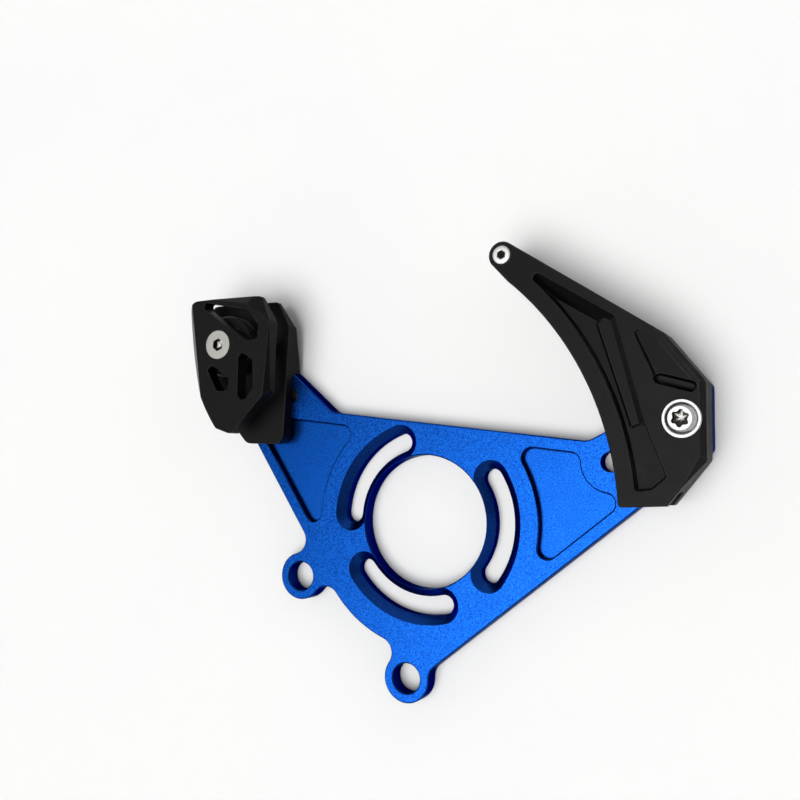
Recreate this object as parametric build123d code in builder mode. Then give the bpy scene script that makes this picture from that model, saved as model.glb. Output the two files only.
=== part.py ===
"""Bicycle chain guide: a backplate with three bolt arc slots, an upper guide and a lower guide with a roller.

Millimetres. The origin is the bottom bracket axis on the plate's back face, +Z points to the drive side.
"""

import os
from math import acos, atan2, cos, degrees, radians, sin, sqrt

from build123d import *

# Backplate
plate_t = 6.0
bore_r = 22.3
edge_chamfer = 0.4
slot_circle_r = 28.0
slot_angles = (35.0, 179.0, 287.0)
slot_half_span = 33.5
slot_half_w = 3.2
sink_half_w = 6.0
web_r = 42.4
lug_reach = 10.0
lug_angles = (240.0, 300.0)
lug_hole_r = 5.0
lug_r = 8.15
neck_r = 5.0
top_edge_dist = 32.9
top_edge_facing = 120.2
front_edge_inset = 2.9
rear_edge_facing = 250.0
pocket_depth = 2.4
pocket_rim = 2.3
pocket_land = 4.1
pocket_corner_r = 3.2
slot_boss_r = 9.7

# Where the guides are clamped, and how far they slide along their slots
upper_bolt_x = 50.4
upper_bolt_y = 78.1
upper_slide_angle = 63.5
upper_edge_gap = 9.0
upper_front_gap = 10.5
upper_end_gap = 5.8
upper_end_facing = 36.7
lower_bolt_x = -95.7
lower_bolt_y = 4.9
lower_slide_angle = 176.0
lower_edge_gap = 6.6
lower_end_gap = 8.0
travel_in = 13.0
travel_out = 0.6
slot_reach = 27.0
slide_clear = 0.2
tab_corner_r = 2.0
tab_root_r = 5.5

# Lips at the guides' backs, over the edges of the plate
lip_drop = 4.2
lip_w = 3.0
lip_reach = 13.0

# Chain space between the two walls of each guide
chain_line = 14.4
channel_w = 7.1

# Upper guide, in plan from its bolt
upper_skin_t = 3.55
upper_parting_z = 12.6
roof_t = 3.0
roof_end_y = -17.5
guide_arc_r = 95.1
guide_mid_x = -29.8
guide_mid_y = -6.78
guide_mid_angle = 62.85
tip_x = -73.9
tip_y = 9.1
tip_r = 4.3
tip_block = 8.0
heel_run = 39.25
arm_run = 39.25
upper_corner_r = 2.0
heel_r = 1.2
bevel_slope = 78.0
recess_rim = 5.2
recess_foot_run = 35.1
recess_tip_run = 33.8
recess_tip_w = 2.7
recess_corner_r = 1.2
recess_depth = 2.4
recess_slope = 30.0
recess_cove = 0.8
terrace_depth = 1.2
terrace_slope = 32.0
triangle_step = 0.4
triangle_depth = 1.5
triangle_slope = 12.0
groove_w = 3.4
groove_round = 1.4
seam = 0.3
guide_edge = 0.4
core_wall = 2.2
core_depth = 2.5
core_end_x = -24.0
core_rib_x = -45.0
upper_lip_near = -10.0
upper_lip_far = 7.0

# Lower guide, in plan from its bolt
lower_outer_t = 5.05
lower_corner_r = 2.2
rear_corner_r = 4.0
foot_corner_r = 4.0
facet_slope = 40.0
side_slope = 70.0
under_slope = 113.0
window_r = 0.9
peg_r = 1.5
peg_x = -13.8
peg_y = 2.1
peg_seat = 2.0

# Fasteners
upper_bolt_d = 6.0
upper_flange_d = 11.0
upper_flange_t = 1.0
upper_head_d = 9.2
upper_head_h = 2.1
upper_head_flat_d = 6.8
dome_r = 4.0
lobe_circle_r = 2.0
lobe_r = 0.5
upper_nut_w = 7.8
lower_bolt_d = 5.0
lower_head_d = 10.4
lower_socket_af = 4.0
lower_nut_w = 8.0
nut_flat = 1.2
nut_t = 3.0
tip_bolt_d = 3.0
tip_head_d = 5.9
tip_head_h = 1.9
tip_sink = 1.5
tip_head_round = 0.6
tip_bore_gap = 0.3
tip_socket_af = 2.5
tip_socket_depth = 1.4
tip_nut_af = 5.5
tip_nut_t = 2.4
socket_depth = 2.3
bolt_end_gap = 0.4
end_chamfer = 0.5
fit = 0.03
hole_clear = 0.1

# Roller, its bearing and the sleeves on the bolts
bearing_bore_d = 8.0
bearing_d = 16.0
bearing_w = 5.0
race_t = 1.2
ball_d = 2.4
ball_count = 8
cage_t = 1.1
cage_rail = 0.4
cage_clear = 0.08
shield_t = 0.3
shield_inset = 0.15
roller_r = 11.0
roller_side_gap = 0.4
roller_chamfer = 0.4
roller_groove = 0.8
roller_groove_w = 3.0
sleeve_seat = 1.5
bush_wall = 1.5
boss_wall = 2.0

# Sizes that follow from those above
inner_wall_z = chain_line - channel_w / 2
outer_wall_z = chain_line + channel_w / 2
upper_top_z = outer_wall_z + upper_skin_t
lower_top_z = outer_wall_z + lower_outer_t
groove_depth = nut_t + slide_clear
lug_circle_r = web_r + lug_reach
bush_r = upper_bolt_d / 2 + hole_clear + bush_wall
sleeve_r = bearing_bore_d / 2 - fit
bearing_boss_h = (channel_w - bearing_w) / 2
ball_circle_r = (bearing_bore_d + bearing_d) / 4
upper_bolt = Vector(upper_bolt_x, upper_bolt_y)
lower_bolt = Vector(lower_bolt_x, lower_bolt_y)


def polar(radius, angle):
    """Point at a radius and an angle in degrees."""
    return Vector(radius * cos(radians(angle)), radius * sin(radians(angle)))


def flat(point):
    """Plan coordinates of a point."""
    return (point.X, point.Y)


def crossing(facing_a, dist_a, facing_b, dist_b):
    """Corner of two straight edges, each given by the way it faces and its distance from the origin."""
    a = polar(1, facing_a)
    b = polar(1, facing_b)
    turn = a.X * b.Y - a.Y * b.X
    return Vector((dist_a * b.Y - dist_b * a.Y) / turn, (dist_b * a.X - dist_a * b.X) / turn)


def edge_beyond(point, facing, gap):
    """Straight edge that lies a gap beyond a point, on the side it faces."""
    return (facing, point.dot(polar(1, facing)) + gap)


def on_circle(radius, facing, dist, side):
    """Point where a straight edge meets a circle about the origin."""
    return polar(dist, facing) + polar(sqrt(radius**2 - dist**2), facing + side * 90)


def neck_on_rim(lug_angle, side):
    """Centre of the round between a lug and the rim of the web."""
    lug_side = lug_r + neck_r
    rim_side = web_r + neck_r
    cosine = (lug_circle_r**2 + rim_side**2 - lug_side**2) / (2 * lug_circle_r * rim_side)
    swing = degrees(atan2(sqrt(1 - cosine**2), cosine))
    return polar(rim_side, lug_angle + side * swing)


def neck_on_edge(lug, facing, dist, side):
    """Centre of the round between a lug and a straight edge."""
    beyond = dist + neck_r - lug.dot(polar(1, facing))
    along = sqrt((lug_r + neck_r) ** 2 - beyond**2)
    return lug + polar(beyond, facing) + polar(along, facing + side * 90)


def tangent_angle(centre, radius, point, side):
    """Angle on a circle where a straight line from a point touches it."""
    run = point - centre
    return degrees(atan2(run.Y, run.X) + side * acos(radius / run.length))


def at_bolt(bolt, z):
    """Plane at a height, with its origin on a guide's bolt."""
    return Plane((bolt.X, bolt.Y, z))


def facet(bolt, start, end, z, slope):
    """Sloping plane through a line at a height on a guide, falling away to the left of the line."""
    along = (Vector(*end) - Vector(*start)).normalized()
    outward = Vector(-along.Y, along.X)
    normal = outward * sin(radians(slope)) + Vector(0, 0, cos(radians(slope)))
    return Plane((bolt.X + start[0], bolt.Y + start[1], z), x_dir=along, z_dir=normal)


def bolt_axis(bolt):
    """Axis of a guide's bolt."""
    return Axis((bolt.X, bolt.Y, 0), (0, 0, 1))


def turning_plane(bolt, z):
    """Upright plane through a bolt's axis, x the radius and y the height above z."""
    return Plane((bolt.X, bolt.Y, z), x_dir=(1, 0, 0), z_dir=(0, -1, 0))


def slide_slot(near, far, width, angle):
    """Slot outline along a slide, with its end centres at two distances from the bolt."""
    with Locations(flat(polar((near + far) / 2, angle))):
        SlotCenterToCenter(far - near, width, rotation=angle)


# Straight edges of the backplate: the way each faces and its distance from the axis
front_edge_dist = web_r - front_edge_inset
front_swing = degrees(acos((front_edge_dist - upper_front_gap) / upper_bolt.length))
front_edge_facing = degrees(atan2(upper_bolt_y, upper_bolt_x)) - front_swing
pocket_inner_r = web_r - pocket_rim
top_edge = (top_edge_facing, top_edge_dist)
front_edge = (front_edge_facing, front_edge_dist)
rear_edge = (rear_edge_facing, web_r)
upper_edge = edge_beyond(upper_bolt, upper_slide_angle + 90, upper_edge_gap)
upper_end = edge_beyond(upper_bolt, upper_end_facing, upper_end_gap)
lower_edge = edge_beyond(lower_bolt, lower_slide_angle - 90, lower_edge_gap)
lower_end = edge_beyond(lower_bolt, lower_slide_angle, lower_end_gap)
pocket_top = (top_edge_facing, top_edge_dist - pocket_land)
pocket_front = (front_edge_facing, front_edge_dist - pocket_land)
pocket_rear = (rear_edge_facing, web_r - pocket_land)

rear_lug = polar(lug_circle_r, lug_angles[0])
front_lug = polar(lug_circle_r, lug_angles[1])
front_lug_inset = front_edge_dist - front_lug.dot(polar(1, front_edge_facing))
rear_edge_neck = neck_on_edge(rear_lug, *rear_edge, -1)
front_edge_neck = neck_on_edge(front_lug, *front_edge, 1)
tab_corners = (
    crossing(*upper_edge, *upper_end),
    crossing(*lower_end, *lower_edge),
    crossing(*rear_edge, *lower_end),
    crossing(*upper_end, *front_edge),
)
tab_roots = (crossing(*top_edge, *upper_edge), crossing(*lower_edge, *top_edge))

with BuildSketch() as plate_plan:
    Circle(web_r)
    for facing, dist in (top_edge, front_edge):
        with Locations(flat(polar(dist + web_r, facing))):
            Rectangle(2 * web_r, 2 * web_r, rotation=facing, mode=Mode.SUBTRACT)
    Polygon(
        flat(tab_corners[0]),
        flat(tab_roots[0]),
        flat(tab_roots[1]),
        flat(tab_corners[1]),
        flat(tab_corners[2]),
        flat(polar(web_r, rear_edge_facing)),
        (0, 0),
        flat(front_lug),
        flat(front_lug + polar(front_lug_inset, front_edge_facing)),
        flat(tab_corners[3]),
        align=None,
    )
    for corner in tab_corners:
        fillet(plate_plan.vertices().sort_by_distance(corner)[0], radius=tab_corner_r)
    for root in tab_roots:
        fillet(plate_plan.vertices().sort_by_distance(root)[0], radius=tab_root_r)
    for lug, edge, edge_neck, rim_neck in (
        (rear_lug, rear_edge, rear_edge_neck, neck_on_rim(lug_angles[0], 1)),
        (front_lug, front_edge, front_edge_neck, neck_on_rim(lug_angles[1], -1)),
    ):
        edge_foot = edge_neck - polar(neck_r, edge[0])
        Polygon((0, 0), flat(edge_foot), flat(edge_neck), flat(lug), flat(rim_neck), align=None)
        with Locations(flat(edge_neck), flat(rim_neck)):
            Circle(neck_r, mode=Mode.SUBTRACT)
    for lug in (rear_lug, front_lug):
        with Locations(flat(lug)):
            Circle(lug_r)
            Circle(lug_hole_r, mode=Mode.SUBTRACT)
    Circle(bore_r, mode=Mode.SUBTRACT)

# The rear pocket lies between two edges and the ring round the bore
with BuildSketch() as rear_pocket:
    Polygon(
        flat(crossing(*pocket_top, *pocket_rear)),
        flat(polar(pocket_rear[1], pocket_rear[0])),
        (0, 0),
        flat(polar(pocket_top[1], pocket_top[0])),
        align=None,
    )
    Circle(pocket_inner_r, mode=Mode.SUBTRACT)
    fillet(rear_pocket.vertices(), radius=pocket_corner_r)

# The front pocket also runs round the end of the upper guide's slot
slot_end = upper_bolt - polar(slot_reach, upper_slide_angle)
slot_end_inset = pocket_front[1] - pocket_corner_r - slot_end.dot(polar(1, front_edge_facing))
slot_end_drop = sqrt((slot_boss_r + pocket_corner_r) ** 2 - slot_end_inset**2)
front_round = slot_end + polar(slot_end_inset, front_edge_facing)
front_round += polar(slot_end_drop, front_edge_facing - 90)
slot_end_gap = pocket_top[1] - slot_end.dot(polar(1, top_edge_facing))
slot_end_side = sqrt(slot_boss_r**2 - slot_end_gap**2)
boss_corner = slot_end + polar(slot_end_gap, top_edge_facing) + polar(slot_end_side, top_edge_facing + 90)
with BuildSketch() as front_pocket:
    Polygon(
        flat(polar(pocket_top[1], pocket_top[0])),
        (0, 0),
        flat(polar(pocket_front[1], pocket_front[0])),
        flat(front_round + polar(pocket_corner_r, front_edge_facing)),
        flat(front_round),
        flat(slot_end),
        flat(slot_end + polar(slot_end_gap, top_edge_facing)),
        align=None,
    )
    with Locations(flat(front_round)):
        Circle(pocket_corner_r)
    with Locations(flat(slot_end)):
        Circle(slot_boss_r, mode=Mode.SUBTRACT)
    Circle(pocket_inner_r, mode=Mode.SUBTRACT)
    pocket_corners = (
        on_circle(pocket_inner_r, *pocket_top, -1),
        on_circle(pocket_inner_r, *pocket_front, 1),
        boss_corner,
    )
    for corner in pocket_corners:
        fillet(front_pocket.vertices().sort_by_distance(corner)[0], radius=pocket_corner_r)

with BuildPart() as backplate:
    add(plate_plan.sketch)
    extrude(amount=plate_t)
    chamfer(backplate.faces().filter_by(Axis.Z).edges(), length=edge_chamfer)
    with BuildSketch(Plane.XY.offset(plate_t)):
        add(rear_pocket.sketch)
        add(front_pocket.sketch)
    extrude(amount=-pocket_depth, mode=Mode.SUBTRACT)
    chamfer(backplate.edges(Select.LAST).group_by(Axis.Z)[-1], length=edge_chamfer)
    # Countersunk arc slots: a revolved section, closed by a countersunk hole at each end
    for angle in slot_angles:
        start = polar(1, angle - slot_half_span)
        with BuildSketch(Plane((0, 0, 0), x_dir=start, z_dir=start.cross(Vector(0, 0, 1)))):
            sink_z = plate_t - (sink_half_w - slot_half_w)
            Polygon(
                (slot_circle_r - slot_half_w, 0),
                (slot_circle_r + slot_half_w, 0),
                (slot_circle_r + slot_half_w, sink_z),
                (slot_circle_r + sink_half_w, plate_t),
                (slot_circle_r - sink_half_w, plate_t),
                (slot_circle_r - slot_half_w, sink_z),
                align=None,
            )
        revolve(axis=Axis.Z, revolution_arc=2 * slot_half_span, mode=Mode.SUBTRACT)
        with Locations(Plane.XY.offset(plate_t)):
            with PolarLocations(slot_circle_r, 2, angle - slot_half_span, 2 * slot_half_span, endpoint=True):
                CounterSinkHole(slot_half_w, sink_half_w, depth=plate_t, counter_sink_angle=90)
    # A straight slot for each guide's bolt, and a groove at the back for its nut
    for bolt, slide, bolt_d, nut_w in (
        (upper_bolt, upper_slide_angle, upper_bolt_d, upper_nut_w),
        (lower_bolt, lower_slide_angle, lower_bolt_d, lower_nut_w),
    ):
        with BuildSketch(at_bolt(bolt, 0)):
            slide_slot(-slot_reach, travel_out + slide_clear, bolt_d + 2 * slide_clear, slide)
        extrude(amount=plate_t, mode=Mode.SUBTRACT)
        with BuildSketch(at_bolt(bolt, 0)):
            groove_near = -travel_in - nut_flat / 2
            groove_far = travel_out + nut_flat / 2
            slide_slot(groove_near, groove_far, nut_w + 2 * slide_clear, slide)
        extrude(amount=groove_depth, mode=Mode.SUBTRACT)
backplate.part.label = "backplate"

# Plan of the upper guide: straight outer edges, a round tip and an inner edge that follows the chainring
arc_centre = Vector(guide_mid_x, guide_mid_y) - polar(guide_arc_r, guide_mid_angle)
heel_angle = guide_mid_angle - degrees(heel_run / guide_arc_r)
arm_angle = guide_mid_angle + degrees(arm_run / guide_arc_r)
recess_from = guide_mid_angle - degrees(recess_foot_run / guide_arc_r)
recess_to = guide_mid_angle + degrees(recess_tip_run / guide_arc_r)
upper_corners = ((-19.5, 16.85), (-1.8, 12.2), (11.6, -5.8), (11.1, -22.5))
heel_corner = arc_centre + polar(guide_arc_r, heel_angle)
arm_end = arc_centre + polar(guide_arc_r, arm_angle)
tip = Vector(tip_x, tip_y)
tip_from = tangent_angle(tip, tip_r, Vector(*upper_corners[0]), 1)
tip_to = tangent_angle(tip, tip_r, arm_end, -1) + 360
with BuildSketch() as upper_plan:
    with BuildLine():
        tip_arc = CenterArc(flat(tip), tip_r, tip_from, tip_to - tip_from)
        inner_arc = CenterArc(flat(arc_centre), guide_arc_r, heel_angle, arm_angle - heel_angle)
        Polyline(tip_arc @ 0, *upper_corners, inner_arc @ 0)
        Line(inner_arc @ 1, tip_arc @ 1)
    make_face()
    for corner in upper_corners[1:3]:
        fillet(upper_plan.vertices().sort_by_distance(Vector(*corner))[0], radius=upper_corner_r)
    fillet(upper_plan.vertices().sort_by_distance(heel_corner)[0], radius=heel_r)

# Chain space of the upper guide: closed along the outer edges and at the tip, open on the chainring's side
with BuildSketch() as chain_plan:
    add(upper_plan.sketch)
    offset(amount=-roof_t, mode=Mode.REPLACE)
    with Locations(flat(arc_centre)):
        Circle(guide_arc_r + 2 * roof_t)
    with Locations((0, roof_end_y - guide_arc_r / 2)):
        Rectangle(guide_arc_r, guide_arc_r)
    with Locations((tip_x + tip_block - guide_arc_r, 0)):
        Rectangle(2 * guide_arc_r, 4 * guide_arc_r, mode=Mode.SUBTRACT)
    Circle(bush_r + boss_wall, mode=Mode.SUBTRACT)

# Plans of the recesses on the upper guide's face
recess_tip = flat(arc_centre + polar(guide_arc_r + recess_rim + recess_tip_w, recess_to))
recess_crown = (-33.2, 13.2)
recess_front = (-7.5, -7.0)
recess_foot = ((5.2, -21.4), (6.5, -15.7))
terrace_plan = ((-37.0, 8.0), (-10.2, -11.0), (-1.2, 2.7), (-33.2, 27.5))
triangle_plan = ((-27.2, 13.1), (-21.8, 14.9), (-2.0, 9.7), (-12.9, 4.7))
groove_ends = ((-11.9, 5.6), (-3.4, 8.8))
with BuildSketch() as recess_plan:
    with BuildLine():
        rim_arc = CenterArc(flat(arc_centre), guide_arc_r + recess_rim, recess_from, recess_to - recess_from)
        Polyline(rim_arc @ 0, *recess_foot, recess_front, recess_crown, recess_tip, rim_arc @ 1)
    make_face()
    fillet(recess_plan.vertices(), radius=recess_corner_r)

# A terrace stands on the recess's floor, with a slope from it up to the recess's front edge
recess_floor_z = upper_top_z - recess_depth
with BuildPart() as terrace:
    with BuildSketch(at_bolt(upper_bolt, recess_floor_z)):
        Polygon(*terrace_plan, align=None)
    extrude(amount=recess_depth - terrace_depth)
    chamfer(terrace.faces().sort_by(Axis.Z)[-1].edges(), length=recess_cove)
with BuildPart() as front_slope:
    with BuildSketch(at_bolt(upper_bolt, recess_floor_z)):
        Polygon(*terrace_plan, align=None)
    extrude(amount=recess_depth)
    slope_plane = facet(upper_bolt, recess_front, recess_crown, upper_top_z, terrace_slope)
    split(bisect_by=slope_plane, keep=Keep.BOTTOM)

# The main recess has a cove along the foot of its walls and a sloping flank under its upper edge
with BuildPart() as recess_cut:
    with BuildSketch(at_bolt(upper_bolt, upper_top_z)):
        add(recess_plan.sketch)
    extrude(amount=-recess_depth)
    chamfer(recess_cut.faces().sort_by(Axis.Z)[0].edges(), length=recess_cove)
    split(bisect_by=facet(upper_bolt, recess_crown, recess_tip, upper_top_z, recess_slope), keep=Keep.TOP)
    add(terrace.part, mode=Mode.SUBTRACT)
    add(front_slope.part, mode=Mode.SUBTRACT)

# The triangular recess deepens away from its outer edge, with a round-ended groove along its foot
with BuildPart() as triangle_cut:
    with BuildSketch(at_bolt(upper_bolt, upper_top_z)) as triangle:
        Polygon(*triangle_plan, align=None)
        fillet(triangle.vertices(), radius=recess_corner_r)
    extrude(amount=-triangle_depth)
    chamfer(triangle_cut.faces().sort_by(Axis.Z)[0].edges(), length=recess_cove)
    triangle_floor_z = upper_top_z - triangle_step
    triangle_floor = facet(upper_bolt, triangle_plan[2], triangle_plan[1], triangle_floor_z, triangle_slope)
    split(bisect_by=triangle_floor, keep=Keep.TOP)
groove_run = Vector(*groove_ends[1]) - Vector(*groove_ends[0])
groove_angle = degrees(atan2(groove_run.Y, groove_run.X))
with BuildPart() as groove_cut:
    with BuildSketch(at_bolt(upper_bolt, upper_top_z)):
        with Locations(flat(Vector(*groove_ends[0]) + groove_run / 2)):
            SlotCenterToCenter(groove_run.length, groove_w, rotation=groove_angle)
    extrude(amount=-recess_depth)
    fillet(groove_cut.faces().sort_by(Axis.Z)[0].edges(), radius=groove_round)

upper_bevels = (
    ((-21.4, 16.35), (-2.5, 11.3)),
    ((-2.5, 11.3), (8.9, -4.1)),
    ((10.1, -6.3), (11.3, -16.0)),
)
with BuildPart() as upper_guide_outer_shell:
    with BuildSketch(at_bolt(upper_bolt, upper_parting_z)):
        add(upper_plan.sketch)
    extrude(amount=upper_top_z - upper_parting_z)
    chamfer(upper_guide_outer_shell.faces().sort_by(Axis.Z)[-1].edges(), length=guide_edge)
    for start, end in upper_bevels:
        split(bisect_by=facet(upper_bolt, start, end, upper_top_z, bevel_slope), keep=Keep.BOTTOM)
    # A shallow groove marks the seam between the two shells
    with BuildSketch(at_bolt(upper_bolt, upper_parting_z)):
        add(upper_plan.sketch)
        offset(upper_plan.sketch, amount=-seam, mode=Mode.SUBTRACT)
    extrude(amount=seam, mode=Mode.SUBTRACT)
    with BuildSketch(at_bolt(upper_bolt, upper_parting_z)):
        add(chain_plan.sketch)
    extrude(amount=outer_wall_z - upper_parting_z, mode=Mode.SUBTRACT)
    add(recess_cut.part, mode=Mode.SUBTRACT)
    add(triangle_cut.part, mode=Mode.SUBTRACT)
    add(groove_cut.part, mode=Mode.SUBTRACT)
    with Locations(at_bolt(upper_bolt, upper_top_z)):
        Hole(bush_r + fit)
        with Locations((tip_x, tip_y)):
            CounterBoreHole(tip_bolt_d / 2 + hole_clear, tip_head_d / 2 + tip_bore_gap, tip_sink)
upper_guide_outer_shell.part.label = "upper_guide_outer_shell"

with BuildPart() as upper_guide_inner_shell:
    with BuildSketch(at_bolt(upper_bolt, plate_t)):
        add(upper_plan.sketch)
    extrude(amount=upper_parting_z - plate_t)
    with BuildSketch(at_bolt(upper_bolt, inner_wall_z)):
        add(chain_plan.sketch)
    extrude(amount=upper_parting_z - inner_wall_z, mode=Mode.SUBTRACT)
    # The arm is cored from the back, with a rib across
    with BuildSketch(at_bolt(upper_bolt, plate_t)):
        add(upper_plan.sketch)
        offset(amount=-core_wall, mode=Mode.REPLACE)
        with Locations((tip_x + tip_block - guide_arc_r, 0), (core_end_x + guide_arc_r, 0)):
            Rectangle(2 * guide_arc_r, 4 * guide_arc_r, mode=Mode.SUBTRACT)
        with Locations((core_rib_x, 0)):
            Rectangle(core_wall, guide_arc_r, mode=Mode.SUBTRACT)
    extrude(amount=core_depth, mode=Mode.SUBTRACT)
    # A lip over the edge of the backplate keeps the guide from turning on its bolt
    with BuildSketch(at_bolt(upper_bolt, plate_t)):
        lip_middle = polar((upper_lip_near + upper_lip_far) / 2, upper_slide_angle)
        lip_side = polar(upper_edge_gap + slide_clear + lip_w / 2, upper_slide_angle + 90)
        with Locations(flat(lip_middle + lip_side)):
            Rectangle(upper_lip_far - upper_lip_near, lip_w, rotation=upper_slide_angle)
    extrude(amount=-lip_drop)
    with Locations(at_bolt(upper_bolt, upper_parting_z)):
        Hole(bush_r + fit)
        with Locations((tip_x, tip_y)):
            Hole(tip_bolt_d / 2 + hole_clear)
    with BuildSketch(at_bolt(upper_bolt, plate_t)):
        with Locations((tip_x, tip_y)):
            RegularPolygon(tip_nut_af / 2 + hole_clear, 6, major_radius=False)
    extrude(amount=tip_nut_t, mode=Mode.SUBTRACT)
upper_guide_inner_shell.part.label = "upper_guide_inner_shell"

with BuildPart() as upper_guide_bush:
    with BuildSketch(at_bolt(upper_bolt, plate_t)):
        Circle(bush_r)
        Circle(upper_bolt_d / 2 + hole_clear, mode=Mode.SUBTRACT)
    extrude(amount=upper_top_z - plate_t)
upper_guide_bush.part.label = "upper_guide_bush"

with BuildPart() as upper_guide_bolt:
    with BuildSketch(turning_plane(upper_bolt, 0)):
        with BuildLine():
            flange_top = upper_top_z + upper_flange_t
            dome_foot = (upper_head_d / 2, flange_top)
            dome_top = (upper_head_flat_d / 2, flange_top + upper_head_h)
            Polyline(
                (0, flange_top + upper_head_h),
                (0, bolt_end_gap),
                (upper_bolt_d / 2 - end_chamfer, bolt_end_gap),
                (upper_bolt_d / 2, bolt_end_gap + end_chamfer),
                (upper_bolt_d / 2, upper_top_z),
                (upper_flange_d / 2, upper_top_z),
                (upper_flange_d / 2, flange_top),
                dome_foot,
            )
            RadiusArc(dome_foot, dome_top, -dome_r)
            Line(dome_top, (0, flange_top + upper_head_h))
        make_face()
    revolve(axis=bolt_axis(upper_bolt))
    with BuildSketch(at_bolt(upper_bolt, upper_top_z + upper_flange_t + upper_head_h)):
        Circle(lobe_circle_r)
        with PolarLocations(lobe_circle_r, 6):
            Circle(lobe_r)
    extrude(amount=-socket_depth, mode=Mode.SUBTRACT)
upper_guide_bolt.part.label = "upper_guide_bolt"

with BuildPart() as upper_guide_slot_nut:
    with BuildSketch(at_bolt(upper_bolt, groove_depth - nut_t)):
        slide_slot(-nut_flat / 2, nut_flat / 2, upper_nut_w, upper_slide_angle)
        Circle(upper_bolt_d / 2 + fit, mode=Mode.SUBTRACT)
    extrude(amount=nut_t)
upper_guide_slot_nut.part.label = "upper_guide_slot_nut"

tip_bolt = upper_bolt + tip
with BuildPart() as upper_guide_tip_bolt:
    with BuildSketch(at_bolt(tip_bolt, plate_t + bolt_end_gap)):
        Circle(tip_bolt_d / 2)
    extrude(amount=upper_top_z - tip_sink - plate_t - bolt_end_gap)
    with BuildSketch(at_bolt(tip_bolt, upper_top_z - tip_sink)):
        Circle(tip_head_d / 2)
    extrude(amount=tip_head_h)
    fillet(upper_guide_tip_bolt.faces().sort_by(Axis.Z)[-1].edges(), radius=tip_head_round)
    with BuildSketch(at_bolt(tip_bolt, upper_top_z - tip_sink + tip_head_h)):
        RegularPolygon(tip_socket_af / 2, 6, major_radius=False)
    extrude(amount=-tip_socket_depth, mode=Mode.SUBTRACT)
upper_guide_tip_bolt.part.label = "upper_guide_tip_bolt"

with BuildPart() as upper_guide_tip_nut:
    with BuildSketch(at_bolt(tip_bolt, plate_t)):
        RegularPolygon(tip_nut_af / 2, 6, major_radius=False)
        Circle(tip_bolt_d / 2 + fit, mode=Mode.SUBTRACT)
    extrude(amount=tip_nut_t)
upper_guide_tip_nut.part.label = "upper_guide_tip_nut"

# Plans of the lower guide's two plates: both follow the same arc at the rear
rear_arc = ((-18.8, 3.1), (-3.0, -13.8))
outer_corners = ((17.7, -24.0), (24.2, -21.8), (27.1, -1.5), (13.2, 19.1), (2.9, 23.3), (-18.3, 6.6))
inner_corners = ((24.8, -25.1), (37.3, -16.0), (13.7, 18.9), (4.6, 23.4), (-18.3, 6.6))
with BuildSketch() as lower_outer_plan:
    with BuildLine():
        ThreePointArc(*rear_arc, outer_corners[0])
        Polyline(*outer_corners, rear_arc[0])
    make_face()
    for corner in outer_corners[:-1]:
        fillet(lower_outer_plan.vertices().sort_by_distance(Vector(*corner))[0], radius=lower_corner_r)
    for corner in (outer_corners[-1], rear_arc[0]):
        fillet(lower_outer_plan.vertices().sort_by_distance(Vector(*corner))[0], radius=rear_corner_r)
with BuildSketch() as lower_inner_plan:
    with BuildLine():
        ThreePointArc(*rear_arc, inner_corners[0])
        Polyline(*inner_corners, rear_arc[0])
    make_face()
    for corner in inner_corners[:2]:
        fillet(lower_inner_plan.vertices().sort_by_distance(Vector(*corner))[0], radius=foot_corner_r)
    for corner in inner_corners[2:-1]:
        fillet(lower_inner_plan.vertices().sort_by_distance(Vector(*corner))[0], radius=lower_corner_r)
    for corner in (inner_corners[-1], rear_arc[0]):
        fillet(lower_inner_plan.vertices().sort_by_distance(Vector(*corner))[0], radius=rear_corner_r)
upper_window = ((-14.0, 9.0), (3.5, 17.3), (10.4, 15.6), (12.8, 11.4), (9.7, 7.9), (-12.9, 6.9))
front_window = ((10.5, 3.9), (15.7, 4.4), (22.0, -3.1), (21.8, -8.4), (20.5, -9.7), (18.3, -9.5), (10.2, 1.6))
rear_window = (
    (1.8, -9.8),
    (2.4, -7.2),
    (10.8, -6.2),
    (13.1, -8.5),
    (13.3, -10.9),
    (10.1, -13.2),
    (8.3, -12.7),
)
with BuildSketch() as windows:
    for window in (upper_window, front_window, rear_window):
        Polygon(*window, align=None)
    fillet(windows.vertices(), radius=window_r)

lower_facets = (
    ((-13.0, 11.1), (1.6, 18.8), facet_slope),
    ((1.6, 18.8), (12.8, 18.9), facet_slope),
    ((1.1, -14.7), (-16.4, 2.9), facet_slope),
    ((13.3, 18.9), (26.2, -2.2), side_slope),
)
with BuildPart() as lower_guide_outer_plate:
    with BuildSketch(at_bolt(lower_bolt, outer_wall_z)):
        add(lower_outer_plan.sketch)
    extrude(amount=lower_outer_t)
    for start, end, slope in lower_facets:
        split(bisect_by=facet(lower_bolt, start, end, lower_top_z, slope), keep=Keep.BOTTOM)
    with BuildSketch(at_bolt(lower_bolt, outer_wall_z)):
        add(windows.sketch)
    extrude(amount=lower_outer_t, mode=Mode.SUBTRACT)
    # A boss clamps the bearing's inner race, and the sleeve ends in its bore
    with BuildSketch(at_bolt(lower_bolt, outer_wall_z)):
        Circle(bearing_bore_d / 2 + race_t)
    extrude(amount=-bearing_boss_h)
    with BuildSketch(at_bolt(lower_bolt, outer_wall_z + sleeve_seat)):
        Circle(sleeve_r + fit)
    extrude(amount=-sleeve_seat - bearing_boss_h, mode=Mode.SUBTRACT)
    with Locations(at_bolt(lower_bolt, lower_top_z)):
        CounterSinkHole(lower_bolt_d / 2 + hole_clear, lower_head_d / 2 + hole_clear, counter_sink_angle=90)
    with BuildSketch(at_bolt(lower_bolt, outer_wall_z)):
        with Locations((peg_x, peg_y)):
            Circle(peg_r + fit)
    extrude(amount=peg_seat, mode=Mode.SUBTRACT)
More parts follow.
